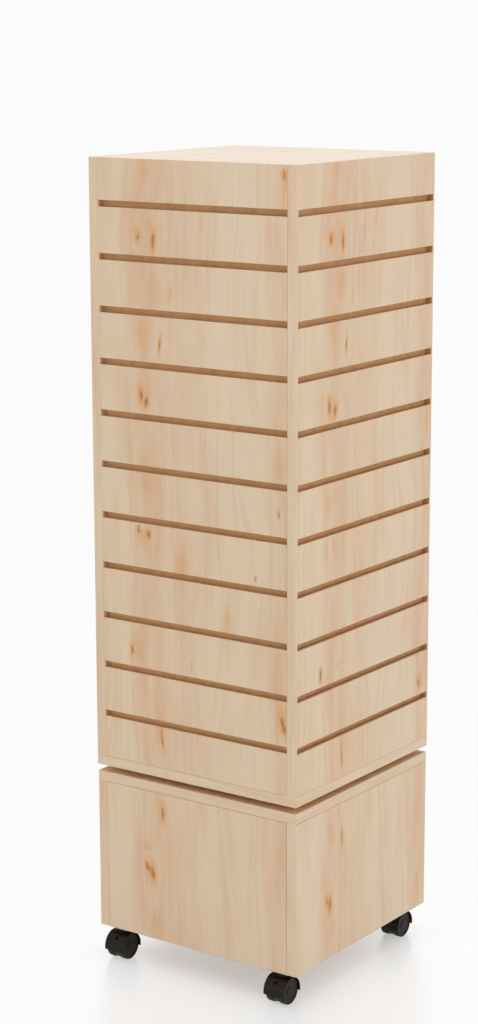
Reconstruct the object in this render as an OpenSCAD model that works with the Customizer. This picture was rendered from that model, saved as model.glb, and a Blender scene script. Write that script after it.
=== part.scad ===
// Rotating slatwall display rack: a square tower of four grooved boards that turns
// on a flat ball bearing over a low base cabinet with four hooded twin-wheel casters.
// Origin: on the floor under the middle of the rack. +Z is up, -Y is the front.

/* [Tower] */
// Width and depth of the tower over the laminated faces
tower_w = 362; // [320:1:420]
// Height of the tower from its bottom plate to its flush top
tower_h = 911; // [700:1:1100]
// Thickness of the grooved boards, the side panels and the top panel
board_t = 15.9; // [15.5:0.1:19]
// Thickness of the plates under the tower and on top of the base
plate_t = 15.2; // [14:0.1:19]
// Thickness of the solid bands that close the groove ends
groove_band_t = 3; // [1:0.5:5]
// Thickness of the thin bands on plain board edges
thin_band_t = 1; // [0.7:0.1:2]
// Chamfer that eases the edges of every board and band
edge_ease = 0.25; // [0.1:0.05:0.3]

/* [Slat grooves] */
// Distance from one groove to the next
groove_pitch = 76.2; // [50:0.1:102]
// Distance from the top of the tower to the upper edge of the first groove
groove_top = 60.8; // [40:0.1:80]
// Plain height that is kept below the last groove
groove_foot = 40; // [30:1:60]
// Height of the groove's mouth
groove_open = 9.6; // [8:0.1:12]
// Thickness of the lips on either side of the mouth
groove_lip = 5; // [4:0.1:5.5]
// Height of the wide part behind the lips
groove_wide = 22; // [18:0.5:26]
// Depth of the wide part behind the lips
groove_deep = 5.5; // [4.5:0.1:6]
// Chamfer that the cutter leaves at the back of the wide part
groove_chamfer = 1; // [0.4:0.1:1.5]
// Eased edge of the mouth
groove_ease = 0.4; // [0.2:0.1:0.8]

/* [Base] */
// Width and depth of the base over its faces
base_w = 360.6; // [320:0.1:420]
// Height of the base from the lower edge of its panels to its top face
base_h = 248; // [180:1:320]
// Side of the square corner blocks inside the base
block_w = 28; // [24:1:34]
// Side of the square battens inside the tower
batten_w = 20; // [18:1:28]
// Diameter of the wooden dowels under the top plate
dowel_d = 8; // [6:1:8]
// Length of a dowel in the panel's edge
dowel_deep = 20; // [16:1:30]
// Length of a dowel in the top plate
dowel_shallow = 9; // [6:1:11]
// Distance of each dowel from the middle of its panel
dowel_x = 100; // [60:1:120]
// Diameter of the hole in the top plate for driving the upper bearing screws
access_d = 20; // [14:1:24]

/* [Ball bearing] */
// Side of the square bearing plates
bearing_w = 229; // [216:1:240]
// Height of the bearing, which is the gap between base and tower
bearing_h = 10; // [10:0.1:11]
// Thickness of the pressed sheet
sheet_t = 1.5; // [1.2:0.1:1.6]
// Corner radius of the bearing plates
bearing_corner_r = 12; // [8:1:16]
// Diameter of the circle that the balls run on
race_d = 184; // [170:1:190]
// Diameter of a ball
ball_d = 6; // [5.6:0.1:6.2]
// Number of balls
ball_count = 28; // [16:1:36]
// Distance of a bearing screw from both middle lines
bearing_screw_x = 102; // [98:0.5:103]

/* [Casters] */
// Height from the floor to the underside of the base
caster_h = 50; // [49:0.5:60]
// Diameter of a wheel
wheel_d = 40; // [36:0.5:42]
// Width of one wheel
wheel_w = 10.2; // [8:0.1:11]
// Thickness of the housing's web between the wheels
web_t = 10; // [9.6:0.1:12]
// Height of the web's lowest point above the floor
web_clear = 1.2; // [0.8:0.1:4]
// Thickness of the hood over the wheels
hood_wall = 1.4; // [1.2:0.1:2]
// Distance that the hood stands past the outer face of a wheel
hood_over = 2.3; // [0.5:0.1:3]
// Distance that the hood's lower edges lie below the axle
hood_drop = 4.3; // [2:0.1:6]
// Distance from the swivel axis to the axle
trail = 10; // [8:0.5:14]
// Distance of each swivel axis from the inside of the nearest side panel
caster_side_gap = 16.4; // [16.2:0.1:40]
// Distance of the outer caster screws from the outside of the front or back panel
caster_screw_inset = 8.8; // [7:0.1:9]
// Side of the square caster plate
caster_plate_w = 38; // [36:1:42]
// Thickness of the caster plate
caster_plate_t = 2; // [1.6:0.1:2.5]
// Distance between the screw holes of a caster plate
caster_hole_pitch = 27; // [25:0.5:28]
// Diameter of the kingpin
kingpin_d = 6; // [5:0.1:6.2]
// Diameter of the axle
axle_d = 6; // [4:0.1:7]

/* [Fits] */
// Clearance around a pin that turns in its hole
running_play = 0.06; // [0.03:0.01:0.1]
// Clearance around a screw in its hole
pilot_play = 0.05; // [0.02:0.01:0.1]
// Clearance between a ball and its race
ball_play = 0.15; // [0.1:0.01:0.2]
// Gap between pieces that pass each other as they turn
pass_gap = 0.5; // [0.4:0.05:0.6]
// Open joint between two bands that meet at a corner
glue_line = 0.05; // [0.02:0.01:0.1]

/* [Hidden] */
$fn = 64;
cut = 1;
laminate = [0.85, 0.76, 0.62];
pale_band = [0.87, 0.79, 0.66];
pine = [0.80, 0.66, 0.46];
beech = [0.78, 0.62, 0.42];
steel = [0.66, 0.67, 0.69];
zinc = [0.75, 0.76, 0.78];
brass = [0.75, 0.63, 0.33];
black_plastic = [0.10, 0.10, 0.10];

base_z = caster_h;
base_top_z = base_z + base_h;
tower_z = base_top_z + bearing_h;
tower_top_z = tower_z + tower_h;

// Tower
board_z = tower_z + plate_t;
board_h = tower_h - plate_t;
front_board_w = tower_w - 2 * board_t;
side_board_w = tower_w - 2 * groove_band_t;
tower_inside = tower_w / 2 - board_t;
groove_run = board_h - groove_top - groove_open - groove_foot;
groove_count = floor(groove_run / groove_pitch) + 1;
first_groove_z = tower_top_z - groove_top - groove_open / 2;
batten_mid = tower_inside - batten_w / 2;
batten_h = board_h - board_t;

// Base
base_inside = base_w / 2 - board_t;
base_panel_h = base_h - plate_t;
block_mid = base_inside - block_w / 2;
block_h = base_panel_h - board_t;
panel_mid = base_w / 2 - board_t / 2;
caster_x = base_inside - caster_side_gap;
caster_y = base_w / 2 - caster_screw_inset - caster_hole_pitch / 2;
access_y = bearing_screw_x * sqrt(2);

// Screws: shank diameter, head diameter, length
long_screw = [4.5, 8.6, 45];
bearing_screw = [4, 7.6, 13];
caster_screw = [3.5, 6.6, 15];
head_slope = 0.5;
recess_w = 0.9;
recess_span = 0.95;
recess_depth = 0.35;

// Bearing
race_r = race_d / 2;
race_in = ball_d / 2 + ball_play;
race_out = race_in + sheet_t;
race_mid_z = bearing_h / 2;
race_edge = 0.8;
cage_t = 0.9;
cage_w = 10.4;
hem_out = 9.5;
hem_reach = 5.5;
hem_t = 1.3;
hem_gap = 0.4;
rim_in = 7.2;
rim_low = 1.2;
rim_t = 1.4;
bearing_hole_r = race_r - hem_out;

// Caster
wheel_r = wheel_d / 2;
hood_r = wheel_r + pass_gap + hood_wall;
wheel_in = web_t / 2 + pass_gap;
wheel_out = wheel_in + wheel_w;
hood_half = wheel_out + hood_over;
hood_edge_r = 0.6;
web_low_r = wheel_r - web_clear;
swivel_gap = 0.4;
plate_under_z = caster_h - caster_plate_t;
boss_top_z = plate_under_z - swivel_gap;
boss_r = 15.5;
boss_foot_r = 11;
boss_edge = 1.2;
kingpin_low_z = plate_under_z - 15;
kingpin_head_h = 2.4;
kingpin_head_over = 0.5;
axle_half = wheel_out - 1.4;
slot_angle = 43;
slot_w = 4;
slot_h = 6.5;
slot_depth = 3.4;

// Each caster's corner and the way it has swivelled, in the order of the names:
// front left, front right, back left, back right
CASTER_X = [-1, 1, -1, 1];
CASTER_Y = [-1, -1, 1, 1];
CASTER_TURN = [0, 0, 180, 0];

// Shared shapes

// A square sheet with rounded corners, drawn flat
module round_square(w, r) {
    square([w - 2 * r, w], center = true);
    square([w, w - 2 * r], center = true);
    for (x = [-1, 1], y = [-1, 1])
        translate([x * (w / 2 - r), y * (w / 2 - r)]) circle(r = r);
}

// A rectangle with its corners eased, drawn flat round its middle
module eased_rectangle(w, h) {
    e = edge_ease;
    polygon([
        [-w / 2 + e, -h / 2], [w / 2 - e, -h / 2], [w / 2, -h / 2 + e], [w / 2, h / 2 - e],
        [w / 2 - e, h / 2], [-w / 2 + e, h / 2], [-w / 2, h / 2 - e], [-w / 2, -h / 2 + e]
    ]);
}

// A board with all its edges eased, its middle at x, y in the plan and its underside at z
module board(x, y, z, w, d, h) {
    translate([x, y, z + h / 2]) intersection() {
        linear_extrude(h, center = true) eased_rectangle(w, d);
        rotate([90, 0, 0]) linear_extrude(d, center = true) eased_rectangle(w, h);
        rotate([90, 0, 90]) linear_extrude(w, center = true) eased_rectangle(d, h);
    }
}

// A plain box for cutting, placed as a board is
module cutter(x, y, z, w, d, h) {
    translate([x - w / 2, y - d / 2, z]) cube([w, d, h]);
}

// The four corners of a square, with a copy of the children at each
module at_corners(x, y) {
    for (sx = [-1, 1], sy = [-1, 1])
        translate([sx * x, sy * y, 0]) children();
}

// A countersunk screw with its head's flat face at z = 0 and its point up
module screw(size) {
    head_h = (size[1] - size[0]) * head_slope;
    tip_h = size[0];
    difference() {
        rotate_extrude() polygon([
            [0, 0], [size[1] / 2, 0], [size[0] / 2, head_h],
            [size[0] / 2, size[2] - tip_h], [0, size[2]]
        ]);
        for (a = [0, 90])
            rotate(a) cutter(0, 0, -cut, size[0] * recess_span, recess_w, cut + size[1] * recess_depth);
    }
}

// The hole that a countersunk screw needs, from its head's face up
module screw_hole(size) {
    head_h = (size[1] - size[0]) * head_slope;
    rotate_extrude() polygon([
        [0, -cut], [size[1] / 2 + pilot_play, -cut], [size[1] / 2 + pilot_play, 0],
        [size[0] / 2 + pilot_play, head_h], [size[0] / 2 + pilot_play, size[2] + pilot_play],
        [0, size[2] + pilot_play]
    ]);
}

// Four thin bands around a square plate, the front and back ones over the full width
module plate_bands(w, z) {
    side_w = w - 2 * thin_band_t - 2 * glue_line;
    for (s = [-1, 1]) {
        board(0, s * (w - thin_band_t) / 2, z, w, thin_band_t, plate_t);
        board(s * (w - thin_band_t) / 2, 0, z, thin_band_t, side_w, plate_t);
    }
}

// Base cabinet

module base_cross_panel(side) {
    color(laminate) difference() {
        board(0, side * panel_mid, base_z, 2 * base_inside, board_t, base_panel_h);
        for (x = [-1, 1]) {
            translate([x * dowel_x, side * panel_mid, base_top_z - plate_t - dowel_deep])
                cylinder(d = dowel_d, h = dowel_deep + cut);
            for (hole = [-1, 1])
                caster_screw_at(x * caster_x + hole * caster_hole_pitch / 2,
                    side * (caster_y + caster_hole_pitch / 2)) screw_hole(caster_screw);
        }
    }
}

module base_side_panel(side) {
    color(laminate) difference() {
        board(side * panel_mid, 0, base_z, board_t, base_w - 2 * thin_band_t, base_panel_h);
        for (y = [-1, 1])
            translate([side * panel_mid, y * dowel_x, base_top_z - plate_t - dowel_deep])
                cylinder(d = dowel_d, h = dowel_deep + cut);
    }
}

module base_front_panel() { base_cross_panel(-1); }
module base_back_panel() { base_cross_panel(1); }
module base_left_panel() { base_side_panel(-1); }
module base_right_panel() { base_side_panel(1); }

module base_edge_bands() {
    color(pale_band)
        for (x = [-1, 1], y = [-1, 1])
            board(x * panel_mid, y * (base_w - thin_band_t) / 2, base_z,
                board_t, thin_band_t, base_panel_h);
}

module base_bottom_panel() {
    color(laminate) difference() {
        board(0, 0, base_z, 2 * base_inside, 2 * base_inside, board_t);
        at_corners(block_mid, block_mid)
            translate([0, 0, base_z]) screw_hole(long_screw);
        for (x = [-1, 1], y = [-1, 1], hole = [-1, 1])
            caster_screw_at(x * caster_x + hole * caster_hole_pitch / 2,
                y * (caster_y - caster_hole_pitch / 2)) screw_hole(caster_screw);
    }
}

module base_corner_blocks() {
    color(pine) difference() {
        at_corners(block_mid, block_mid)
            board(0, 0, base_z + board_t, block_w, block_w, block_h);
        at_corners(block_mid, block_mid)
            translate([0, 0, base_z]) screw_hole(long_screw);
    }
}

module base_bottom_screws() {
    color(zinc) at_corners(block_mid, block_mid)
        translate([0, 0, base_z]) screw(long_screw);
}

module base_dowels() {
    color(beech)
        for (turn = [0 : 90 : 270], x = [-1, 1])
            rotate(turn) translate([x * dowel_x, panel_mid, base_top_z - plate_t - dowel_deep])
                dowel();
}

// A dowel with its ends chamfered
module dowel() {
    length = dowel_deep + dowel_shallow;
    radius = dowel_d / 2 - pilot_play;
    rotate_extrude() polygon([
        [0, 0], [radius - 1, 0], [radius, 1], [radius, length - 1], [radius - 1, length], [0, length]
    ]);
}

module base_top_plate() {
    color(laminate) difference() {
        board(0, 0, base_top_z - plate_t, base_w - 2 * thin_band_t, base_w - 2 * thin_band_t, plate_t);
        for (turn = [0 : 90 : 270], x = [-1, 1])
            rotate(turn) translate([x * dowel_x, panel_mid, base_top_z - plate_t - cut])
                cylinder(d = dowel_d, h = cut + dowel_shallow);
        translate([0, access_y, base_top_z - plate_t - cut])
            cylinder(d = access_d, h = plate_t + 2 * cut);
        at_corners(bearing_screw_x, bearing_screw_x)
            translate([0, 0, base_top_z + sheet_t]) mirror([0, 0, 1]) screw_hole(bearing_screw);
    }
}

module base_top_plate_bands() {
    color(pale_band) plate_bands(base_w, base_top_z - plate_t);
}

// Ball bearing

// The pressed race in section: a ring of sheet round the ball, cut off at the cage
module race_section() {
    difference() {
        translate([race_r, race_mid_z]) circle(r = race_out);
        translate([race_r, race_mid_z]) circle(r = race_in);
        translate([0, race_mid_z - race_edge]) square([2 * race_r, bearing_h]);
    }
}

// The flat part of a bearing plate with its screw holes, its head faces down
module bearing_sheet(hole_r) {
    difference() {
        linear_extrude(sheet_t) difference() {
            round_square(bearing_w, bearing_corner_r);
            circle(r = hole_r);
        }
        at_corners(bearing_screw_x, bearing_screw_x)
            translate([0, 0, sheet_t]) mirror([0, 0, 1]) screw_hole(bearing_screw);
    }
}

module bearing_lower_plate() {
    color(steel) translate([0, 0, base_top_z]) {
        bearing_sheet(race_r + race_in);
        rotate_extrude() union() {
            race_section();
            difference() {
                translate([race_r - hem_out, 0]) square([hem_out + race_out, sheet_t]);
                translate([race_r, race_mid_z]) circle(r = race_in);
            }
            translate([race_r - hem_out, 0]) square([sheet_t, bearing_h - hem_gap]);
            translate([race_r - hem_out, bearing_h - hem_gap - hem_t])
                square([hem_out - hem_reach, hem_t]);
        }
    }
}

module bearing_upper_plate() {
    color(steel) translate([0, 0, tower_z]) mirror([0, 0, 1]) {
        bearing_sheet(race_r + race_in);
        rotate_extrude() union() {
            race_section();
            difference() {
                translate([race_r, 0]) square([race_out, sheet_t]);
                translate([race_r, race_mid_z]) circle(r = race_in);
            }
            difference() {
                translate([race_r - rim_in, race_mid_z - rim_low - rim_t]) square([rim_in, rim_t]);
                translate([race_r, race_mid_z]) circle(r = race_in);
            }
        }
    }
}

module bearing_lower_screws() {
    color(zinc) at_corners(bearing_screw_x, bearing_screw_x)
        translate([0, 0, base_top_z + sheet_t]) mirror([0, 0, 1]) screw(bearing_screw);
}

module bearing_upper_screws() {
    color(zinc) at_corners(bearing_screw_x, bearing_screw_x)
        translate([0, 0, tower_z - sheet_t]) screw(bearing_screw);
}

// Ball places around the race
module at_balls() {
    for (i = [0 : ball_count - 1])
        rotate(i * 360 / ball_count) translate([race_r, 0, base_top_z + race_mid_z]) children();
}

module bearing_ball_cage() {
    color(brass) difference() {
        translate([0, 0, base_top_z + race_mid_z - cage_t / 2])
            difference() {
                cylinder(r = race_r + cage_w / 2, h = cage_t);
                translate([0, 0, -cut]) cylinder(r = race_r - cage_w / 2, h = cage_t + 2 * cut);
            }
        at_balls() cylinder(d = ball_d + 2 * ball_play, h = ball_d, center = true);
    }
}

module bearing_balls() {
    color(zinc) at_balls() sphere(d = ball_d);
}

// Tower

// The section of one groove: x is the depth from the face, y the height from its middle
module groove_section() {
    mouth = groove_open / 2;
    wide = groove_wide / 2;
    back = groove_lip + groove_deep;
    polygon([
        [-cut, -mouth - groove_ease - cut], [groove_ease, -mouth], [groove_lip, -mouth],
        [groove_lip, -wide], [back - groove_chamfer, -wide], [back, -wide + groove_chamfer],
        [back, wide - groove_chamfer], [back - groove_chamfer, wide], [groove_lip, wide],
        [groove_lip, mouth], [groove_ease, mouth], [-cut, mouth + groove_ease + cut]
    ]);
}

// A grooved board with its laminated face towards -Y, its middle at x = 0
module slat_board(w) {
    color(laminate) difference() {
        board(0, -(tower_w - board_t) / 2, board_z, w, board_t, board_h);
        for (i = [0 : groove_count - 1])
            translate([-w / 2 - cut, -tower_w / 2, first_groove_z - i * groove_pitch])
                rotate([90, 0, 90]) linear_extrude(w + 2 * cut) groove_section();
    }
}

module slatwall_front() { slat_board(front_board_w); }
module slatwall_right() { rotate(90) slat_board(side_board_w); }
module slatwall_back() { rotate(180) slat_board(front_board_w); }
module slatwall_left() { rotate(270) slat_board(side_board_w); }

module slatwall_edge_bands() {
    color(pale_band)
        for (x = [-1, 1], y = [-1, 1])
            board(x * (tower_w - board_t) / 2, y * (tower_w - groove_band_t) / 2, board_z,
                board_t, groove_band_t, board_h);
}

module tower_top_panel() {
    color(laminate)
        board(0, 0, tower_top_z - board_t, 2 * tower_inside, 2 * tower_inside, board_t);
}

module tower_top_cleats() {
    color(pine)
        for (turn = [0 : 90 : 270])
            rotate(turn) board(0, batten_mid, tower_top_z - board_t - batten_w,
                2 * tower_inside - 2 * batten_w, batten_w, batten_w);
}

module tower_corner_battens() {
    color(pine) difference() {
        at_corners(batten_mid, batten_mid) board(0, 0, board_z, batten_w, batten_w, batten_h);
        at_corners(batten_mid, batten_mid) translate([0, 0, tower_z]) screw_hole(long_screw);
    }
}

module tower_bottom_plate() {
    color(laminate) difference() {
        board(0, 0, tower_z, tower_w - 2 * thin_band_t, tower_w - 2 * thin_band_t, plate_t);
        at_corners(batten_mid, batten_mid) translate([0, 0, tower_z]) screw_hole(long_screw);
        at_corners(bearing_screw_x, bearing_screw_x)
            translate([0, 0, tower_z - sheet_t]) screw_hole(bearing_screw);
    }
}

module tower_bottom_plate_bands() {
    color(pale_band) plate_bands(tower_w, tower_z);
}

module tower_bottom_screws() {
    color(zinc) at_corners(batten_mid, batten_mid)
        translate([0, 0, tower_z]) screw(long_screw);
}

// Casters: each piece is drawn round its swivel axis, with the axle in front of it

module at_caster(i) {
    translate([CASTER_X[i] * caster_x, CASTER_Y[i] * caster_y, 0]) rotate(CASTER_TURN[i]) children();
}

// A cylinder along X round the axle, from x = low to x = high
module along_axle(r, low, high) {
    translate([low, -trail, wheel_r]) rotate([0, 90, 0]) cylinder(r = r, h = high - low);
}

module caster_screw_at(x, y) {
    translate([x, y, plate_under_z]) children();
}

module caster_plate() {
    color(steel) difference() {
        translate([0, 0, plate_under_z])
            linear_extrude(caster_plate_t) difference() {
                round_square(caster_plate_w, 4);
                circle(d = kingpin_d);
            }
        at_corners(caster_hole_pitch / 2, caster_hole_pitch / 2)
            caster_screw_at(0, 0) screw_hole(caster_screw);
    }
}

// The pin: flush with the plate on top, with a snap head at its lower end
module kingpin() {
    r = kingpin_d / 2;
    head_r = r + kingpin_head_over;
    color(steel) rotate_extrude() polygon([
        [0, kingpin_low_z], [r - 1, kingpin_low_z], [head_r, kingpin_low_z + 1],
        [head_r, kingpin_low_z + kingpin_head_h], [r, kingpin_low_z + kingpin_head_h],
        [r, caster_h], [0, caster_h]
    ]);
}

// The hole that the pin turns in
module kingpin_hole() {
    r = kingpin_d / 2 + running_play;
    head_r = r + kingpin_head_over;
    rotate_extrude() polygon([
        [0, kingpin_low_z - pass_gap], [head_r, kingpin_low_z - pass_gap],
        [head_r, kingpin_low_z + kingpin_head_h + running_play],
        [r, kingpin_low_z + kingpin_head_h + running_play], [r, caster_h], [0, caster_h]
    ]);
}

// The hood as a solid drum with rounded rims
module hood_drum() {
    translate([0, -trail, wheel_r]) rotate([0, 90, 0]) rotate_extrude() union() {
        translate([0, -hood_half]) square([hood_r - hood_edge_r, 2 * hood_half]);
        translate([0, -hood_half + hood_edge_r]) square([hood_r, 2 * (hood_half - hood_edge_r)]);
        for (s = [-1, 1])
            translate([hood_r - hood_edge_r, s * (hood_half - hood_edge_r)]) circle(r = hood_edge_r);
    }
}

module housing() {
    color(black_plastic) difference() {
        union() {
            difference() {
                hood_drum();
                cutter(0, -trail, -hood_r, 3 * hood_half, 3 * hood_r, hood_r + wheel_r - hood_drop);
            }
            along_axle(web_low_r, -web_t / 2, web_t / 2);
            rotate_extrude() polygon([
                [0, wheel_r], [boss_foot_r, wheel_r + boss_foot_r], [boss_r, boss_top_z - 9],
                [boss_r, boss_top_z - boss_edge], [boss_r - boss_edge, boss_top_z], [0, boss_top_z]
            ]);
        }
        for (s = [-1, 1])
            along_axle(wheel_r + pass_gap, s > 0 ? web_t / 2 : -2 * hood_half,
                s > 0 ? 2 * hood_half : -web_t / 2);
        along_axle(axle_d / 2, -web_t, web_t);
        kingpin_hole();
        translate([0, -trail, wheel_r]) rotate([90 - slot_angle, 0, 0])
            translate([0, 0, hood_r - slot_depth]) linear_extrude(2 * slot_depth) {
                square([slot_w, slot_h - slot_w], center = true);
                for (s = [-1, 1]) translate([0, s * (slot_h - slot_w) / 2]) circle(d = slot_w);
            }
    }
}

module axle() {
    color(steel) along_axle(axle_d / 2, -axle_half, axle_half);
}

// One wheel in section: x is the radius, y the place along the axle
module wheel_section() {
    bore = axle_d / 2 + running_play;
    hub_r = axle_d / 2 + 2.6;
    rim_r = wheel_r - 3.2;
    edge = 1.6;
    dish = 0.9;
    floor_y = wheel_out - 2.6;
    difference() {
        union() {
            translate([0, wheel_in]) square([wheel_r - edge, wheel_w]);
            translate([0, wheel_in + edge]) square([wheel_r, wheel_w - 2 * edge]);
            for (y = [wheel_in + edge, wheel_out - edge])
                translate([wheel_r - edge, y]) circle(r = edge);
        }
        translate([0, wheel_in - cut]) square([bore, cut + axle_half + pass_gap / 2 - wheel_in]);
        translate([hub_r, wheel_in - cut]) square([rim_r - hub_r, cut + floor_y - wheel_in]);
        polygon([
            [hub_r + 1.2, wheel_out + cut], [hub_r + 1.2, wheel_out - dish + 0.4],
            [hub_r + 1.6, wheel_out - dish], [rim_r - 1.2, wheel_out - dish],
            [rim_r, wheel_out - dish + 0.6], [rim_r, wheel_out + cut]
        ]);
    }
}

module wheel(side) {
    color(black_plastic) translate([0, -trail, wheel_r])
        mirror([side < 0 ? 1 : 0, 0, 0]) rotate([90, 0, 90]) rotate_extrude() wheel_section();
}

module caster_screws() {
    color(zinc)
        for (i = [0 : 3])
            at_caster(i) at_corners(caster_hole_pitch / 2, caster_hole_pitch / 2)
                caster_screw_at(0, 0) screw(caster_screw);
}

module front_left_caster_plate() { at_caster(0) caster_plate(); }
module front_left_kingpin() { at_caster(0) kingpin(); }
module front_left_housing() { at_caster(0) housing(); }
module front_left_axle() { at_caster(0) axle(); }
module front_left_wheel_left() { at_caster(0) wheel(-1); }
module front_left_wheel_right() { at_caster(0) wheel(1); }
module front_right_caster_plate() { at_caster(1) caster_plate(); }
module front_right_kingpin() { at_caster(1) kingpin(); }
module front_right_housing() { at_caster(1) housing(); }
module front_right_axle() { at_caster(1) axle(); }
module front_right_wheel_left() { at_caster(1) wheel(-1); }
module front_right_wheel_right() { at_caster(1) wheel(1); }
module back_left_caster_plate() { at_caster(2) caster_plate(); }
module back_left_kingpin() { at_caster(2) kingpin(); }
module back_left_housing() { at_caster(2) housing(); }
module back_left_axle() { at_caster(2) axle(); }
module back_left_wheel_left() { at_caster(2) wheel(-1); }
module back_left_wheel_right() { at_caster(2) wheel(1); }
module back_right_caster_plate() { at_caster(3) caster_plate(); }
module back_right_kingpin() { at_caster(3) kingpin(); }
module back_right_housing() { at_caster(3) housing(); }
module back_right_axle() { at_caster(3) axle(); }
module back_right_wheel_left() { at_caster(3) wheel(-1); }
module back_right_wheel_right() { at_caster(3) wheel(1); }

base_front_panel();
base_back_panel();
base_left_panel();
base_right_panel();
base_edge_bands();
base_bottom_panel();
base_corner_blocks();
base_bottom_screws();
base_dowels();
base_top_plate();
base_top_plate_bands();
bearing_lower_plate();
bearing_lower_screws();
bearing_ball_cage();
bearing_balls();
bearing_upper_plate();
bearing_upper_screws();
tower_bottom_plate();
tower_bottom_plate_bands();
tower_bottom_screws();
tower_corner_battens();
tower_top_cleats();
tower_top_panel();
slatwall_front();
slatwall_back();
slatwall_left();
slatwall_right();
slatwall_edge_bands();
caster_screws();
front_left_caster_plate();
front_left_kingpin();
front_left_housing();
front_left_axle();
front_left_wheel_left();
front_left_wheel_right();
front_right_caster_plate();
front_right_kingpin();
front_right_housing();
front_right_axle();
front_right_wheel_left();
front_right_wheel_right();
back_left_caster_plate();
back_left_kingpin();
back_left_housing();
back_left_axle();
back_left_wheel_left();
back_left_wheel_right();
back_right_caster_plate();
back_right_kingpin();
back_right_housing();
back_right_axle();
back_right_wheel_left();
back_right_wheel_right();
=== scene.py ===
import math

import bmesh
import bpy
from mathutils import Matrix, Vector


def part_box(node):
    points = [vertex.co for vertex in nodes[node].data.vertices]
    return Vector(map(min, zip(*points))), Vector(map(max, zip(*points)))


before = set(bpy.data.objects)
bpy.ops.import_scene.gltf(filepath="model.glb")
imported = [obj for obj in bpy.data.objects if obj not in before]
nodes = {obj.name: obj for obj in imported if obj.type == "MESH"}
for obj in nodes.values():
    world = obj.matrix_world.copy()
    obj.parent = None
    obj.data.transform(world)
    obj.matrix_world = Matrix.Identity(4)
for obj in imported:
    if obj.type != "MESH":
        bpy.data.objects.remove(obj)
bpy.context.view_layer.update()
MM = 0.001

# Base cabinet panels
# Four fibreboards faced with melamine, printed as knotty maple with the grain upright.
# They are butted at the corners, glued and dowelled.


def linear(code):
    """The linear colour that a shader takes for an sRGB hex colour."""
    parts = [int(code[i:i + 2], 16) / 255 for i in (1, 3, 5)]
    return [c / 12.92 if c <= 0.04045 else ((c + 0.055) / 1.055) ** 2.4 for c in parts] + [1]


def add(tree, kind, inputs=None, **settings):
    """Adds a shader node with its settings, and with values or links on its inputs.

    Where names repeat, an input goes by its number: 0 to 2 are Math's values, 1 to 4 the
    limits of Map Range, from and to, and the last two numbers on Mix are what it mixes.
    """
    made = tree.nodes.new("ShaderNode" + kind)
    for name, value in settings.items():
        setattr(made, name, value)
    for name, value in (inputs or {}).items():
        if isinstance(value, bpy.types.NodeSocket):
            tree.links.new(value, made.inputs[name])
        else:
            made.inputs[name].default_value = value
    return made.outputs


def start_material(name, **sockets):
    """A new material with its constants on the shader, its tree and its place on the object."""
    material = bpy.data.materials.new(name)
    material.use_nodes = True
    tree = material.node_tree
    shader = tree.nodes["Principled BSDF"]
    for socket, value in sockets.items():
        shader.inputs[socket.replace("_", " ")].default_value = value
    place = add(tree, "TexCoord")["Object"]
    return material, tree, shader, place


def dress(material, *names):
    """Gives CAD nodes their material."""
    for name in names:
        for slot in nodes[name].material_slots:
            slot.material = material


CREAM_WOOD = "#D3BFA3"
ROSY_WOOD = "#CDAA8A"
GREY_WOOD = "#CDBCA3"
GRAIN_LINE = "#B58C64"
BLUSH = "#CB965F"
KNOT_HALO = "#CC9A60"
KNOT_HEART = "#C58A48"
KNOT_RIM = "#9A5F2B"

# Rosy bands of the print across a 362 mm board: places in mm and how rosy they are
PRINT_BANDS = [(-181, 0.3), (-165, 0.25), (-128, 0.1), (-103, 0.5), (-85, 0.85), (-68, 0.7),
               (-45, 0.5), (15, 0.42), (45, 0.12), (95, 0.0), (120, 0.06), (135, 0.42),
               (158, 0.75), (181, 0.3)]
BOARD_SPAN = 362 * MM


def grain(tree, place, across, along, detail=2):
    """Noise drawn out along the grain, with the size of its marks in mm across and along."""
    scaled = add(tree, "VectorMath", {0: place, 1: (1 / (across * MM), 1 / (along * MM), 0)},
                 operation="MULTIPLY")[0]
    return add(tree, "TexNoise", {"Vector": scaled, "Scale": 1, "Detail": detail},
               noise_dimensions="2D")


def shifted(tree, place, noise, across, along):
    """The place moved by a noise's colour, up to half of the given mm each way."""
    moved = add(tree, "VectorMath", {0: noise, 1: (0.5, 0.5, 0)}, operation="SUBTRACT")[0]
    return add(tree, "VectorMath", {0: moved, 1: (across * MM, along * MM, 0), 2: place},
               operation="MULTIPLY_ADD")[0]


def nearest_mark(tree, place, marks):
    """Place relative to the nearest mark, in its own half sizes, and the distance to it."""
    near = None
    for u, v, wide, tall, lean in marks:
        here = add(tree, "Mapping", {"Vector": place, "Location": (u * MM, v * MM, 0),
                                     "Rotation": (0, 0, math.radians(lean)),
                                     "Scale": (wide * MM, tall * MM, 1)}, vector_type="TEXTURE")[0]
        reach = add(tree, "VectorMath", {0: here}, operation="LENGTH")["Value"]
        if near is None:
            near, nearest = here, reach
        else:
            closer = add(tree, "Math", {0: reach, 1: nearest}, operation="LESS_THAN")[0]
            near = add(tree, "Mix", {0: closer, 4: near, 5: here}, data_type="VECTOR")[1]
            nearest = add(tree, "Math", {0: reach, 1: nearest}, operation="MINIMUM")[0]
    return near, nearest


def bent_round_knots(tree, flow, near, reach):
    """The grain's flow, parted round the knots."""
    swirl = add(tree, "MapRange", {"Value": reach, 1: 5, 2: 0.8, 4: -2.5 * MM},
                interpolation_type="SMOOTHSTEP")[0]
    push = add(tree, "VectorMath", {0: near, 1: (1, 0, 0)}, operation="MULTIPLY")[0]
    push = add(tree, "VectorMath", {0: push, "Scale": swirl}, operation="SCALE")[0]
    return add(tree, "VectorMath", {0: flow, 1: push}, operation="ADD")[0]


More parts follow.
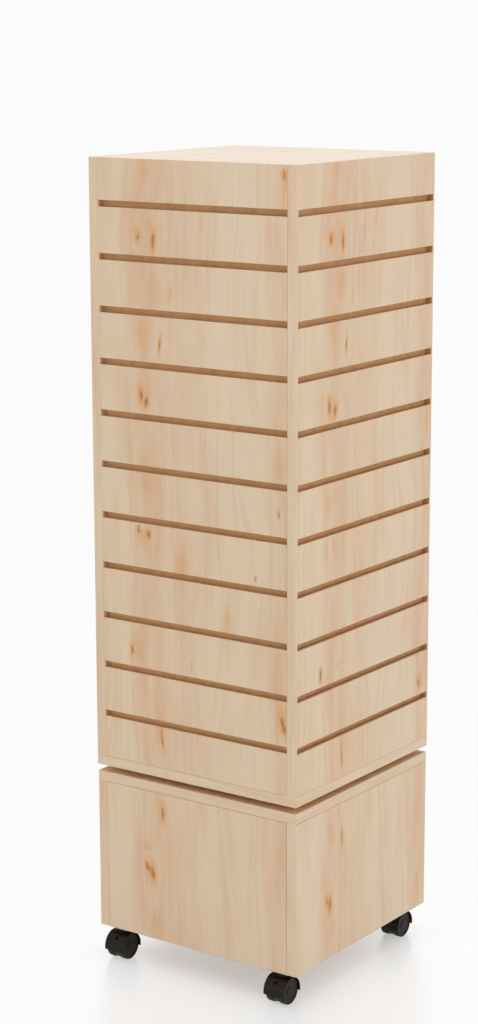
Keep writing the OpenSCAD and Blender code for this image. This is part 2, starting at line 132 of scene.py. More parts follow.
def plain_maple(tree, flow, banded, fine):
    """Cream wood with rosy bands, a greyer mist and thin grain lines."""
    middle = grain(tree, flow, 8, 300, detail=3)["Fac"]
    broad = grain(tree, flow, 34, 200)["Fac"]
    mist = grain(tree, banded, 17, 130)["Fac"]

    ramp_place = add(tree, "SeparateXYZ", {0: banded})[0]
    ramp_place = add(tree, "Math", {0: ramp_place, 1: 1 / BOARD_SPAN, 2: 0.5},
                     operation="MULTIPLY_ADD")[0]
    bands = add(tree, "ValToRGB", {0: ramp_place})
    ramp = tree.nodes[-1].color_ramp
    ramp.interpolation = "EASE"
    while len(ramp.elements) < len(PRINT_BANDS):
        ramp.elements.new(0.5)
    for element, (where, rosy) in zip(ramp.elements, PRINT_BANDS):
        element.position = where * MM / BOARD_SPAN + 0.5
        element.color = (rosy, rosy, rosy, 1)

    drift = add(tree, "Math", {0: broad, 1: 1.6, 2: -0.65}, operation="MULTIPLY_ADD")[0]
    drift = add(tree, "Math", {0: middle, 1: 0.6, 2: drift}, operation="MULTIPLY_ADD")[0]
    drift = add(tree, "Math", {0: bands[0], 1: drift}, operation="ADD")[0]
    rosy = add(tree, "Math", {0: drift, 1: 0.45}, operation="SUBTRACT", use_clamp=True)[0]
    wood = add(tree, "Mix", {0: rosy, 6: linear(CREAM_WOOD), 7: linear(ROSY_WOOD)},
               data_type="RGBA")[2]
    grey = add(tree, "MapRange", {"Value": mist, 1: 0.48, 2: 0.72, 4: 0.55},
               interpolation_type="SMOOTHSTEP")[0]
    wood = add(tree, "Mix", {0: grey, 6: wood, 7: linear(GREY_WOOD)}, data_type="RGBA")[2]
    streak = add(tree, "MapRange", {"Value": middle, 1: 0.54, 2: 0.76, 4: 0.12},
                 interpolation_type="SMOOTHSTEP")[0]
    wood = add(tree, "Mix", {0: streak, 6: wood, 7: linear(GRAIN_LINE)}, data_type="RGBA")[2]
    hair = add(tree, "MapRange", {"Value": fine, 1: 0.45, 2: 0.75, 4: 0.1})[0]
    return add(tree, "Mix", {0: hair, 6: wood, 7: linear(GRAIN_LINE)}, data_type="RGBA")[2]


def blushed(tree, wood, flow, ragged, blushes):
    """The wood with its warm clouds, which break up into strands along the grain."""
    glow = nearest_mark(tree, ragged, blushes)[1]
    glow = add(tree, "MapRange", {"Value": glow, 1: 1.6, 2: 0.1, 4: 0.95},
               interpolation_type="SMOOTHSTEP")[0]
    strands = grain(tree, flow, 3.5, 60)["Fac"]
    glow = add(tree, "Math", {0: glow, 1: strands}, operation="MULTIPLY")[0]
    return add(tree, "Mix", {0: glow, 6: wood, 7: linear(BLUSH)}, data_type="RGBA")[2]


def knotted(tree, wood, ragged, near, reach):
    """The wood with its knots: an amber halo, longer along the grain, and a split brown eye."""
    tail = add(tree, "VectorMath", {0: near, 1: (0.36, 0.42, 0)}, operation="MULTIPLY")[0]
    tail = add(tree, "VectorMath", {0: tail}, operation="LENGTH")["Value"]
    tail = add(tree, "MapRange", {"Value": tail, 1: 1.4, 2: 0.2, 4: 0.9},
               interpolation_type="SMOOTHSTEP")[0]
    wood = add(tree, "Mix", {0: tail, 6: wood, 7: linear(KNOT_HALO)}, data_type="RGBA")[2]
    splits = grain(tree, ragged, 1.2, 6)["Fac"]
    core = add(tree, "MapRange", {"Value": reach, 1: 1.5, 2: 0.7},
               interpolation_type="SMOOTHSTEP")[0]
    dark = add(tree, "MapRange", {"Value": splits, 1: 0.3, 2: 0.55})[0]
    dark = add(tree, "Math", {0: core, 1: dark}, operation="MULTIPLY")[0]
    eye_colour = add(tree, "Mix", {0: dark, 6: linear(KNOT_HEART), 7: linear(KNOT_RIM)},
                     data_type="RGBA")[2]
    eye = add(tree, "MapRange", {"Value": reach, 1: 1.9, 2: 0.5, 4: 0.92},
              interpolation_type="SMOOTHSTEP")[0]
    return add(tree, "Mix", {0: eye, 6: wood, 7: eye_colour}, data_type="RGBA")[2]


def maple_print(tree, across, along, knots=(), blushes=()):
    """Colour and fine grain of the printed maple, from the places across and along it."""
    place = add(tree, "CombineXYZ", {0: across, 1: along})[0]
    wander = grain(tree, place, 80, 420, detail=1)["Color"]
    flow = shifted(tree, place, wander, 60, 0)
    banded = shifted(tree, place, wander, 16, 0)
    ragged = shifted(tree, place, grain(tree, place, 3, 9, detail=3)["Color"], 4, 10)
    if knots:
        near, reach = nearest_mark(tree, ragged, knots)
        flow = bent_round_knots(tree, flow, near, reach)
    fine = grain(tree, flow, 1.6, 90, detail=3)["Fac"]
    wood = plain_maple(tree, flow, banded, fine)
    if blushes:
        wood = blushed(tree, wood, flow, ragged, blushes)
    if knots:
        wood = knotted(tree, wood, ragged, near, reach)
    return wood, fine


def fibreboard(tree, place, cloud_size, spread, pale, dark):
    """Colour of raw fibreboard, with clouds of the given mm, and the height of its fibres.

    The fibres are drawn 0.9 mm wide, coarser than real ones, so that they show.
    """
    fibres = add(tree, "TexNoise", {"Vector": place, "Scale": 1 / (0.9 * MM), "Detail": 4})["Fac"]
    clouds = add(tree, "TexNoise", {"Vector": place, "Scale": 1 / (cloud_size * MM),
                                    "Detail": 2})["Fac"]
    mixed = add(tree, "Math", {0: fibres, 1: clouds}, operation="ADD")[0]
    mixed = add(tree, "MapRange", {"Value": mixed, 1: 1 - spread, 2: 1 + spread})[0]
    colour = add(tree, "Mix", {0: mixed, 6: linear(pale), 7: linear(dark)}, data_type="RGBA")[2]
    return colour, fibres


FIBRE_PALE = "#E1B17F"
FIBRE_DARK = "#C39565"
# Colour of the dark joint lines: the bare cut core, and painted shade in the joint between boards
CUT_CORE_AND_SEAM_SHADE = "#8F6E4C"
SATIN_LOW = 0.2
SATIN_HIGH = 0.28
RAW_ROUGHNESS = 0.85
RELIEF = 0.05 * MM

# Widths of the dark joint lines, which are cut core with painted shade in the joint, then depths
# from the outer face at which the print ends and the core is bare, and from the top edge at which
# the tape thins, ends and the core may show
SEAM_SHADE_LINE = 0.45 * MM
THIN_SEAM_SHADE_LINE = 0.2 * MM
PRINT_DEPTH = 0.42 * MM
CORE_DEPTH = 0.5 * MM
TAPE_DEPTH = 0.2 * MM
TAPE_END = 0.35 * MM
EDGE_DEPTH = 0.6 * MM


def within(tree, value, low, high):
    """One where the value lies between the two, and nought elsewhere, with a 0.1 mm soft edge."""
    over = add(tree, "MapRange", {"Value": value, 1: low - 0.05 * MM, 2: low + 0.05 * MM})[0]
    under = add(tree, "MapRange", {"Value": value, 1: high + 0.05 * MM, 2: high - 0.05 * MM})[0]
    return add(tree, "Math", {0: over, 1: under}, operation="MULTIPLY")[0]


def faced_board(name, node, across, turned, knots, blushes, open_top, cut=0):
    """Melamine on a brown fibre core: satin print on the outer face, raw matt fibre deeper in.

    The board starts the given mm down the printed sheet.
    """
    material, tree, shader, place = start_material(name, IOR=1.5)
    low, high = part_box(node)
    side = "XY".index(across)
    half = max(abs(low[1 - side]), abs(high[1 - side]))
    axes = add(tree, "SeparateXYZ", {0: place})
    u = axes[across]
    if turned:
        u = add(tree, "Math", {0: u, 1: -1}, operation="MULTIPLY")[0]
    v = add(tree, "Math", {0: axes["Z"], 1: high.z}, operation="SUBTRACT")[0]
    sheet_v = add(tree, "Math", {0: v, 1: cut * MM}, operation="SUBTRACT")[0]
    knots = [(mark[0], mark[1] - cut, *mark[2:]) for mark in knots]
    blushes = [(mark[0], mark[1] - cut, *mark[2:]) for mark in blushes]
    wood, fine = maple_print(tree, u, sheet_v, knots, blushes)

    # Along each edge that butts on another board runs a thin dark line: the cut core, and painted
    # shade in the joint.
    # The side boards reach to the corners, so they have it at their level edges only.
    if across == "Y":
        upright_line = -SEAM_SHADE_LINE
    else:
        upright_line = THIN_SEAM_SHADE_LINE if open_top else SEAM_SHADE_LINE
    inner_u = within(tree, u, low[side] + upright_line, high[side] - upright_line)
    last_v = high.z + 1 if open_top else high.z - SEAM_SHADE_LINE
    inner_v = within(tree, axes["Z"], low.z + SEAM_SHADE_LINE, last_v)
    inner = add(tree, "Math", {0: inner_u, 1: inner_v}, operation="MULTIPLY")[0]
    # The joint lines are painted here: cut core colour with painted joint shade
    face = add(tree, "Mix", {0: inner, 6: linear(CUT_CORE_AND_SEAM_SHADE), 7: wood}, data_type="RGBA")[2]

    inward = add(tree, "Math", {0: axes["YX"[side]]}, operation="ABSOLUTE")[0]
    if open_top:
        # The board's top edge is taped, and the tape's grain runs along it
        level_wood = maple_print(tree, inward, u)[0]
        tape = add(tree, "MapRange", {"Value": v, 1: -TAPE_END, 2: -TAPE_DEPTH})[0]
        face = add(tree, "Mix", {0: tape, 6: face, 7: level_wood}, data_type="RGBA")[2]

    core = add(tree, "MapRange", {"Value": inward, 1: half - PRINT_DEPTH, 2: half - CORE_DEPTH})[0]
    below = add(tree, "Math", {0: v, 1: -EDGE_DEPTH}, operation="LESS_THAN")[0]
    core = add(tree, "Math", {0: core, 1: below}, operation="MULTIPLY")[0]
    fibre, fibres = fibreboard(tree, place, 11, 0.45, FIBRE_PALE, FIBRE_DARK)
    colour = add(tree, "Mix", {0: core, 6: face, 7: fibre}, data_type="RGBA")[2]
    tree.links.new(colour, shader.inputs["Base Color"])
    satin = add(tree, "MapRange", {"Value": fine, 3: SATIN_LOW, 4: SATIN_HIGH})[0]
    gloss = add(tree, "Mix", {0: core, 2: satin, 3: RAW_ROUGHNESS})[0]
    tree.links.new(gloss, shader.inputs["Roughness"])
    height = add(tree, "Mix", {0: core, 2: fine, 3: fibres})[0]
    bump = add(tree, "Bump", {"Height": height, "Strength": 0.3, "Distance": RELIEF})[0]
    tree.links.new(bump, shader.inputs["Normal"])
    return material


# Marks of the base's print: mm across from the middle, mm down from the panel's top,
# half its width, half its height and its lean in degrees
BASE_FRONT_KNOTS = [(-89, -119, 2.2, 5, 12), (-84, -124, 2, 6, 14), (-78, -129, 3, 9, 8),
                    (-59, -31, 1.9, 8, 0)]
BASE_FRONT_BLUSHES = [(-83, -122, 12, 20, 0), (-63, -25, 12, 24, 0), (-59, -30, 7, 22, 0),
                      (-89, -88, 9, 8, 0), (-74, -212, 11, 24, 0)]
BASE_SIDE_KNOTS = [(-98, -143, 2, 6, 0), (-90, -149, 3, 9, -4), (-58, -54, 1.1, 10, 3)]
BASE_SIDE_BLUSHES = [(-92, -148, 11, 24, 0), (-88, -42, 11, 24, 0), (-60, -50, 6, 22, 0),
                     (-84, -192, 8, 16, 0), (158, -196, 7, 26, 0)]
# Where on the printed sheet the panels were cut, in mm from its start
FRONT_CUT = 1240
SIDE_CUT = 1220
for side, across, turned, knots, blushes, cut in (
        ("front", "X", False, BASE_FRONT_KNOTS, BASE_FRONT_BLUSHES, FRONT_CUT),
        ("right", "Y", False, BASE_SIDE_KNOTS, BASE_SIDE_BLUSHES, SIDE_CUT),
        ("back", "X", True, BASE_FRONT_KNOTS, BASE_FRONT_BLUSHES, FRONT_CUT),
        ("left", "Y", True, BASE_SIDE_KNOTS, BASE_SIDE_BLUSHES, SIDE_CUT)):
    panel = faced_board(f"maple_melamine_base_{side}", f"base_{side}_panel", across, turned,
                        knots, blushes, False, cut)
    dress(panel, f"base_{side}_panel")

# Base edge bands and bottom panel
# Maple edge tape ironed over the raw ends of the side panels, and a plain board
# between the panels that closes the cabinet below.

# How far the print moves sideways over one step along the third axis
PRINT_LEAN = 0.8


def satin_maple(tree, shader, wood, fine):
    """Puts the print on the shader, satin and with its fine grain just raised."""
    tree.links.new(wood, shader.inputs["Base Color"])
    satin = add(tree, "MapRange", {"Value": fine, 3: SATIN_LOW, 4: SATIN_HIGH})[0]
    tree.links.new(satin, shader.inputs["Roughness"])
    bump = add(tree, "Bump", {"Height": fine, "Strength": 0.3, "Distance": RELIEF})[0]
    tree.links.new(bump, shader.inputs["Normal"])


def maple_all_through(name, across, along, glued=None):
    """Maple print on every side of a piece, with the across direction leaning round corners.

    Nearer to the middle than the glued place along Y, it shows the brown side of the band.
    """
    material, tree, shader, place = start_material(name, IOR=1.5)
    axes = add(tree, "SeparateXYZ", {0: place})
    third = ({"X", "Y", "Z"} - {across, along}).pop()
    lean = add(tree, "Math", {0: axes[third], 1: PRINT_LEAN, 2: axes[across]},
               operation="MULTIPLY_ADD")[0]
    wood, fine = maple_print(tree, lean, axes[along])
    if glued:
        out = add(tree, "Math", {0: axes["Y"]}, operation="ABSOLUTE")[0]
        raw = add(tree, "MapRange", {"Value": out, 1: glued + 0.1 * MM, 2: glued})[0]
        wood = add(tree, "Mix", {0: raw, 6: wood, 7: linear(FIBRE_DARK)}, data_type="RGBA")[2]
    satin_maple(tree, shader, wood, fine)
    return material


upright_band = maple_all_through("maple_edge_tape_upright", "X", "Z")
dress(upright_band, "base_edge_bands")
floor_board = maple_all_through("maple_melamine_base_floor", "Y", "X")
dress(floor_board, "base_bottom_panel")

# Corner blocks, battens and cleats
# Square pine sticks, planed and glued into the corners, that take the screws.


def pine_stick(name, along):
    """Planed pine: pale earlywood with amber growth lines along the stick and a dull face."""
    material, tree, shader, place = start_material(name, Roughness=0.6, IOR=1.5)
    # Growth lines some 4 mm apart, which run on for 140 mm
    stretch = [1 / (4 * MM)] * 3
    stretch["XYZ".index(along)] = 1 / (140 * MM)
    drawn = add(tree, "VectorMath", {0: place, 1: stretch}, operation="MULTIPLY")[0]
    rings = add(tree, "TexNoise", {"Vector": drawn, "Scale": 1, "Detail": 3})["Fac"]
    lines = add(tree, "MapRange", {"Value": rings, 1: 0.42, 2: 0.66},
                interpolation_type="SMOOTHSTEP")[0]
    wood = add(tree, "Mix", {0: lines, 6: linear("#D9BC8C"), 7: linear("#BF9258")},
               data_type="RGBA")[2]
    tree.links.new(wood, shader.inputs["Base Color"])
    bump = add(tree, "Bump", {"Height": rings, "Strength": 0.4, "Distance": 0.1 * MM})[0]
    tree.links.new(bump, shader.inputs["Normal"])
    return material


upright_pine = pine_stick("planed_pine_upright", "Z")
dress(upright_pine, "base_corner_blocks", "tower_corner_battens")
level_pine = pine_stick("planed_pine_level", "X")
dress(level_pine, "tower_top_cleats")

# Dowels
# Turned beech pegs, pressed into the panels' edges under the top plate.

beech, tree, shader, place = start_material("turned_beech", Roughness=0.55, IOR=1.5)
# Beech shows short dark flecks along the grain, about 1.1 mm across and 5.5 mm long
flecked = add(tree, "VectorMath", {0: place, 1: Vector((1 / 1.1, 1 / 1.1, 1 / 5.5)) / MM},
              operation="MULTIPLY")[0]
flecks = add(tree, "TexNoise", {"Vector": flecked, "Scale": 1, "Detail": 2})["Fac"]
spots = add(tree, "MapRange", {"Value": flecks, 1: 0.55, 2: 0.7})[0]
tone = add(tree, "Mix", {0: spots, 6: linear("#CFA678"), 7: linear("#A87B4D")},
           data_type="RGBA")[2]
tree.links.new(tone, shader.inputs["Base Color"])
dress(beech, "base_dowels")

# Base top plate and tower bottom plate
# The two boards that the bearing joins are raw brown fibreboard, with maple tape on
# their edges. The tape's grain runs round the edge, so it lies level there.

RAW_PALE = "#EBC79E"
RAW_DARK = "#D2A87C"
raw_board, tree, shader, place = start_material("raw_fibreboard_plate", Roughness=RAW_ROUGHNESS,
                                                IOR=1.5)
# Pressed fibres leave a fine fleck, with paler and darker clouds 25 mm wide
brown, fibres = fibreboard(tree, place, 25, 0.4, RAW_PALE, RAW_DARK)
tree.links.new(brown, shader.inputs["Base Color"])
bump = add(tree, "Bump", {"Height": fibres, "Strength": 0.3, "Distance": RELIEF})[0]
tree.links.new(bump, shader.inputs["Normal"])
dress(raw_board, "base_top_plate", "tower_bottom_plate")

# The tape's fine level grain lines run along each edge of the square plates
tape, tree, shader, place = start_material("maple_edge_tape_level", IOR=1.5)
axes = add(tree, "SeparateXYZ", {0: place})
run = add(tree, "Math", {0: axes["X"], 1: axes["Y"]}, operation="ADD")[0]
height = add(tree, "Math", {0: axes["Z"], 1: 2}, operation="MULTIPLY")[0]
wood, fine = maple_print(tree, height, run)
satin_maple(tree, shader, wood, fine)
dress(tape, "base_top_plate_bands", "tower_bottom_plate_bands")

# Ball bearing
# Two pressed sheet plates, zinc plated, that hold a ring of steel balls in a punched
# brass cage between them.

sheet, tree, shader, place = start_material("zinc_plated_pressed_sheet", Metallic=1)
# Zinc has faint crystals some 6 mm across, and the press leaves scuffs of 1.4 mm
crystals = add(tree, "TexVoronoi", {"Vector": place, "Scale": 1 / (6 * MM)})["Color"]
grey = add(tree, "Mix", {0: crystals, 6: linear("#B4B8BC"), 7: linear("#C9CCCE")},
           data_type="RGBA")[2]
tree.links.new(grey, shader.inputs["Base Color"])
scuffs = add(tree, "TexNoise", {"Vector": place, "Scale": 1 / (1.4 * MM), "Detail": 3})["Fac"]
dull = add(tree, "MapRange", {"Value": scuffs, 3: 0.26, 4: 0.46})[0]
tree.links.new(dull, shader.inputs["Roughness"])
dress(sheet, "bearing_lower_plate", "bearing_upper_plate")

polished, tree, shader, place = start_material("polished_bearing_steel", Metallic=1)
# A film of grease dulls the balls in patches of 2 mm
grease = add(tree, "TexNoise", {"Vector": place, "Scale": 1 / (2 * MM), "Detail": 2})["Fac"]
film = add(tree, "MapRange", {"Value": grease, 1: 0.4, 2: 0.7, 3: 0.06, 4: 0.28})[0]
tree.links.new(film, shader.inputs["Roughness"])
shine = add(tree, "Mix", {0: grease, 6: linear("#C4C6C8"), 7: linear("#AAA69C")},
            data_type="RGBA")[2]
tree.links.new(shine, shader.inputs["Base Color"])
dress(polished, "bearing_balls")

brass, tree, shader, place = start_material("punched_brass_sheet", Metallic=1, Roughness=0.3)
# Handling leaves brown tarnish in soft clouds 8 mm wide
tarnish = add(tree, "TexNoise", {"Vector": place, "Scale": 1 / (8 * MM), "Detail": 4})["Fac"]
gold = add(tree, "Mix", {0: tarnish, 6: linear("#CBB067"), 7: linear("#A0824A")},
           data_type="RGBA")[2]
tree.links.new(gold, shader.inputs["Base Color"])
dress(brass, "bearing_ball_cage")

# Screws
# Zinc plated countersunk screws with cross recesses, driven flush.

zinc, tree, shader, place = start_material("zinc_plated_screw", Metallic=1)
# Bright passivation leaves a faint yellow and blue cast that drifts over 4 mm
cast = add(tree, "TexNoise", {"Vector": place, "Scale": 1 / (4 * MM), "Detail": 2})["Fac"]
plated = add(tree, "Mix", {0: cast, 6: linear("#BFC4C8"), 7: linear("#C9C3B0")},
             data_type="RGBA")[2]
tree.links.new(plated, shader.inputs["Base Color"])
worn = add(tree, "MapRange", {"Value": cast, 3: 0.22, 4: 0.42})[0]
tree.links.new(worn, shader.inputs["Roughness"])
dress(zinc, "base_bottom_screws", "tower_bottom_screws", "bearing_lower_screws",
      "bearing_upper_screws", "caster_screws")

# Slat boards
# Four boards with T grooves routed across them. They are cut from two printed sheets, so
# opposite faces show the same knots. The grooves show the raw brown fibre.

# Marks of the slat boards' print, given as the base's are, down from the tower's top
FRONT_KNOTS = [(160, -15, 2.6, 5, 0), (-93, -111, 2.2, 4, -15), (-66, -115, 2.6, 10, -6),
               (-56, -263, 1.2, 9, -8), (-90, -339, 2.6, 8, 6), (-81, -347, 3, 7, -9),
               (-97, -538, 2.2, 4, 5), (-80, -543, 3, 4.5, -8), (-112, -722, 1.9, 6, 0),
               (159, -792, 3, 11, 18), (-58, -849, 1.2, 12, 5),
               (111, -583, 1.2, 2.4, 0), (151, -485, 1, 4, 0)]
FRONT_BLUSHES = [(-81, -16, 9, 18, 0), (160, -38, 6, 30, 0), (158, -52, 4, 18, 0),
                 (-96, -104, 9, 15, 10), (-71, -97, 8, 20, 12), (19, -82, 4, 18, -4),
                 (-37, -187, 6, 18, -8), (-66, -191, 14, 28, 0), (-87, -249, 14, 26, 0),
                 (-86, -330, 14, 28, 0), (-86, -456, 16, 34, 0), (-92, -547, 11, 14, 0),
                 (-103, -716, 11, 22, 0), (158, -780, 11, 28, -12), (-62, -830, 8, 32, 0),
                 (150, -421, 12, 30, 0), (60, -661, 10, 34, 0), (-20, -581, 9, 40, 0),
                 (-3, -729, 3, 8, 0)]
SIDE_KNOTS = [(-97, -106, 3.2, 6, -6), (-66, -112, 2.4, 10, -4), (-56, -256, 1.2, 9, -6),
              (-99, -341, 2.8, 8, 4), (-84, -348, 3, 7, -8), (-119, -729, 2, 8, 0),
              (154, -803, 3.2, 6, 10), (-62, -864, 1.1, 12, 4)]
SIDE_BLUSHES = [(-83, -10, 9, 16, 0), (-95, -103, 10, 15, 0), (-70, -100, 7, 20, 8),
                (21, -80, 4, 20, -2), (-11, -102, 3, 12, 0), (-70, -172, 12, 24, 0),
                (-40, -185, 3, 16, -8), (-87, -233, 10, 28, 0), (-92, -345, 14, 24, 0),
                (167, -394, 5, 34, 0), (-99, -478, 10, 22, 0), (-106, -548, 4, 16, -6),
                (-87, -541, 4, 12, 4), (-74, -724, 5, 8, 0), (158, -796, 10, 20, 0),
                (169, -771, 4, 12, 0), (-62, -850, 5, 26, 0)]
for side, across, turned, knots, blushes in (("front", "X", False, FRONT_KNOTS, FRONT_BLUSHES),
                                             ("right", "Y", False, SIDE_KNOTS, SIDE_BLUSHES),
                                             ("back", "X", True, FRONT_KNOTS, FRONT_BLUSHES),
                                             ("left", "Y", True, SIDE_KNOTS, SIDE_BLUSHES)):
    board = faced_board(f"maple_melamine_slat_{side}", f"slatwall_{side}", across, turned,
                        knots, blushes, True)
    dress(board, f"slatwall_{side}")

# The side boards' grooves are closed by bands, seen from within as brown at the ends
BAND_THICKNESS = 3 * MM
band_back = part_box("slatwall_edge_bands")[1].y - BAND_THICKNESS
slat_band = maple_all_through("maple_groove_band", "X", "Z", glued=band_back)
dress(slat_band, "slatwall_edge_bands")

# Top panel
# A plain melamine board let in flush between the four slat boards.

top_board = maple_all_through("maple_melamine_top", "X", "Y")
dress(top_board, "tower_top_panel")

# Casters
# Hooded twin-wheel casters moulded in black nylon, with a zinc plated plate and
# kingpin and a steel axle. The wheels' treads are dusty from the floor.

hood, tree, shader, place = start_material("spark_eroded_black_nylon", IOR=1.53,
                                           Specular_IOR_Level=0.14)
# The mould's spark-eroded face leaves fine grains, drawn at 0.4 mm so that they show, and
# dust lies in clouds of 14 mm
grains = add(tree, "TexNoise", {"Vector": place, "Scale": 1 / (0.4 * MM), "Detail": 2})["Fac"]
dust = add(tree, "TexNoise", {"Vector": place, "Scale": 1 / (14 * MM), "Detail": 3})["Fac"]
black = add(tree, "Mix", {0: dust, 6: linear("#130E08"), 7: linear("#1C150D")},
            data_type="RGBA")[2]
tree.links.new(black, shader.inputs["Base Color"])
satin = add(tree, "MapRange", {"Value": dust, 3: 0.34, 4: 0.5})[0]
tree.links.new(satin, shader.inputs["Roughness"])
bump = add(tree, "Bump", {"Height": grains, "Strength": 0.4, "Distance": RELIEF})[0]
tree.links.new(bump, shader.inputs["Normal"])

pin_steel, tree, shader, place = start_material("turned_steel_pin", Metallic=1, Roughness=0.3)
# Turning leaves fine rings, drawn 0.33 mm apart so that they show
ring_place = add(tree, "VectorMath", {0: place, 1: Vector((1 / 0.33, 1 / 1.7, 1 / 0.33)) / MM},
                 operation="MULTIPLY")[0]
rings = add(tree, "TexNoise", {"Vector": ring_place, "Scale": 1, "Detail": 1})["Fac"]
steel = add(tree, "Mix", {0: rings, 6: linear("#A7AAAD"), 7: linear("#BFC1C3")},
            data_type="RGBA")[2]
tree.links.new(steel, shader.inputs["Base Color"])

# How far in from a wheel's rim the wear of its tread starts, and where it is full
TREAD_START = 0.9 * MM
TREAD_FULL = 0.1 * MM
for corner in ("front_left", "front_right", "back_left", "back_right"):
    dress(hood, f"{corner}_housing")
    dress(sheet, f"{corner}_caster_plate")
    dress(pin_steel, f"{corner}_kingpin", f"{corner}_axle")
    low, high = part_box(f"{corner}_wheel_left")
    hub = (low + high) / 2
    wheel, tree, shader, place = start_material(f"moulded_black_nylon_wheel_{corner}",
                                                IOR=1.53, Specular_IOR_Level=0.15)
    # The tread is scuffed matt and grey with dust, the discs keep their satin. The wheel
    # stands on the floor, so its radius is the height of its hub.
    flat = add(tree, "Mapping", {"Vector": place, "Location": (0, -hub.y, -hub.z)})[0]
    spoke = add(tree, "VectorMath", {0: flat, 1: (0, 1, 1)}, operation="MULTIPLY")[0]
    radius = add(tree, "VectorMath", {0: spoke}, operation="LENGTH")["Value"]
    tread = add(tree, "MapRange", {"Value": radius, 1: hub.z - TREAD_START,
                                   2: hub.z - TREAD_FULL})[0]
    scuff = add(tree, "TexNoise", {"Vector": place, "Scale": 1 / (1.1 * MM), "Detail": 4})["Fac"]
    used = add(tree, "Math", {0: tread, 1: scuff}, operation="MULTIPLY")[0]
    black = add(tree, "Mix", {0: used, 6: linear("#110D08"), 7: linear("#3B362F")},
                data_type="RGBA")[2]
    tree.links.new(black, shader.inputs["Base Color"])
    matt = add(tree, "Mix", {0: tread, 2: 0.36, 3: 0.62})[0]
    tree.links.new(matt, shader.inputs["Roughness"])
    dress(wheel, f"{corner}_wheel_left", f"{corner}_wheel_right")

# Camera
# It stands to the front right of the rack, above its top, and looks slightly down.

CAMERA_PLACE = (1.9622, -2.8198, 1.4143)
CAMERA_YAW = math.radians(35.46)
CAMERA_PITCH = math.radians(11.94)
CAMERA_ROLL = math.radians(-0.17)
FOCAL_LENGTH = 82.278
lens = bpy.data.cameras.new("camera")
lens.sensor_width = 36
lens.lens = FOCAL_LENGTH
camera = bpy.data.objects.new("camera", lens)
camera.matrix_world = (Matrix.Translation(CAMERA_PLACE) @ Matrix.Rotation(CAMERA_YAW, 4, "Z")
                       @ Matrix.Rotation(math.pi / 2 - CAMERA_PITCH, 4, "X")
                       @ Matrix.Rotation(CAMERA_ROLL, 4, "Z"))
bpy.context.scene.collection.objects.link(camera)
bpy.context.scene.camera = camera

# Studio
# A white floor that keeps the soft shadow, white surroundings, and large soft lamps.

WHITE = "#FBFBFB"
FLOOR_SIZE = 40
# Distances from the rack's axis within which the floor mirrors fully, and not at all
MIRROR_FULL = 0.5
MIRROR_GONE = 1.3
MIRROR_SHARE = 0.25
MIRROR_LIFT = 0.296
# Distances from the middle, along X or Y, at which the shadow is full and at which it is
# gone, and how much of the plain white lies over it where it is full
SHADOW_FULL = 0.12
SHADOW_GONE = 0.24
LEAST_WHITE = 0.48


def background_rays(tree):
    """The light path, and one for rays that show the background straight, else nought."""
    seen = add(tree, "LightPath")
    direct = add(tree, "Math", {0: seen["Is Camera Ray"], 1: seen["Is Glossy Ray"]},
                 operation="MAXIMUM")[0]
    direct = add(tree, "Math", {0: direct, 1: seen["Is Transmission Ray"]},
                 operation="MAXIMUM")[0]
    return seen, direct


floor_mesh = bpy.data.meshes.new("floor")
sheet_form = bmesh.new()
bmesh.ops.create_grid(sheet_form, x_segments=1, y_segments=1, size=FLOOR_SIZE / 2)
sheet_form.to_mesh(floor_mesh)
sheet_form.free()
floor = bpy.data.objects.new("floor", floor_mesh)
bpy.context.scene.collection.objects.link(floor)
floor_paint, tree, shader, place = start_material("white_studio_floor", Roughness=0.4, IOR=1.45)
shader.inputs["Base Color"].default_value = linear("#FBF6EF")
seen, direct = background_rays(tree)
# Near the rack the lacquered floor gives the camera a faint, softly blurred mirror image
from_axis = add(tree, "VectorMath", {0: place}, operation="LENGTH")["Value"]
share = add(tree, "MapRange", {"Value": from_axis, 1: MIRROR_FULL, 2: MIRROR_GONE,
                               3: MIRROR_SHARE, 4: 0}, interpolation_type="SMOOTHSTEP")[0]
share = add(tree, "Math", {0: share, 1: seen["Is Camera Ray"]}, operation="MULTIPLY")[0]
mirror = add(tree, "BsdfAnisotropic", {"Roughness": 0.3})[0]
# The white below the mirror is so much brighter that the two together stay at one level
lifted = add(tree, "Math", {0: share, 1: MIRROR_LIFT, 2: 1}, operation="MULTIPLY_ADD")[0]
white = add(tree, "Emission", {"Color": linear(WHITE), "Strength": lifted})[0]
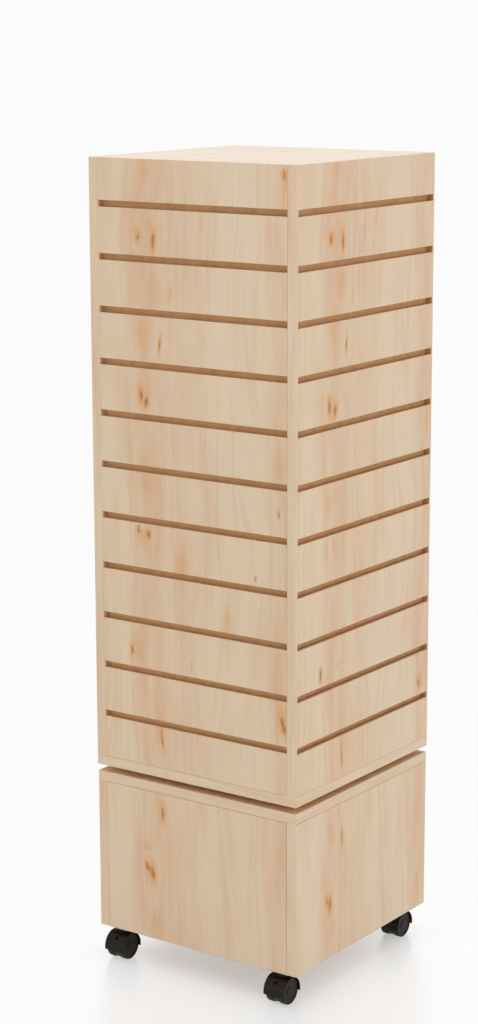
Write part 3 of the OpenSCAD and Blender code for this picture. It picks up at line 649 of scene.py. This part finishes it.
# The shadow is kept under the rack's square and fades just outside of it
sides = add(tree, "VectorMath", {0: place}, operation="ABSOLUTE")[0]
sides = add(tree, "SeparateXYZ", {0: sides})
from_middle = add(tree, "Math", {0: sides["X"], 1: sides["Y"]}, operation="MAXIMUM")[0]
far = add(tree, "MapRange", {"Value": from_middle, 1: SHADOW_FULL, 2: SHADOW_GONE,
                             3: LEAST_WHITE}, interpolation_type="SMOOTHSTEP")[0]
fade = add(tree, "Math", {0: far, 1: direct}, operation="MULTIPLY")[0]
blend = add(tree, "MixShader", {0: fade, 1: shader.outputs[0], 2: white})[0]
blend = add(tree, "MixShader", {0: share, 1: blend, 2: mirror})[0]
tree.links.new(blend, tree.nodes["Material Output"].inputs["Surface"])
floor_mesh.materials.append(floor_paint)

# The surroundings' level on the object, and as the camera and the gloss see them
LIGHT_LEVEL = 0.74
SEEN_LEVEL = 0.965
world = bpy.data.worlds.new("white surroundings")
world.use_nodes = True
bpy.context.scene.world = world
tree = world.node_tree
direct = background_rays(tree)[1]
level = add(tree, "MapRange", {"Value": direct, 3: LIGHT_LEVEL, 4: SEEN_LEVEL})[0]
tree.links.new(level, tree.nodes["Background"].inputs["Strength"])
tree.nodes["Background"].inputs["Color"].default_value = (1, 1, 1, 1)

RACK_MIDDLE = Vector((0, 0, 0.6))


def soft_lamp(name, place, size, power):
    """A large square lamp that faces the middle of the rack, out of the camera's sight."""
    light = bpy.data.lights.new(name, "AREA")
    light.size = size
    light.energy = power
    lamp = bpy.data.objects.new(name, light)
    lamp.location = place
    lamp.rotation_euler = (RACK_MIDDLE - Vector(place)).to_track_quat("-Z", "Y").to_euler()
    lamp.visible_camera = False
    bpy.context.scene.collection.objects.link(lamp)


soft_lamp("overhead_lamp", (0.25, -0.1, 3.4), 2.4, 37)
soft_lamp("right_lamp", (4.5, -1.3, 0.9), 2.6, 44)
soft_lamp("front_lamp", (-1.7, -4.6, 0.8), 2.6, 25.5)
soft_lamp("back_lamp", (-0.9, 4.6, 0.55), 1.2, 26)
soft_lamp("left_lamp", (-4.6, 0.5, 0.9), 2.6, 30)

bpy.context.scene.view_settings.view_transform = "Standard"
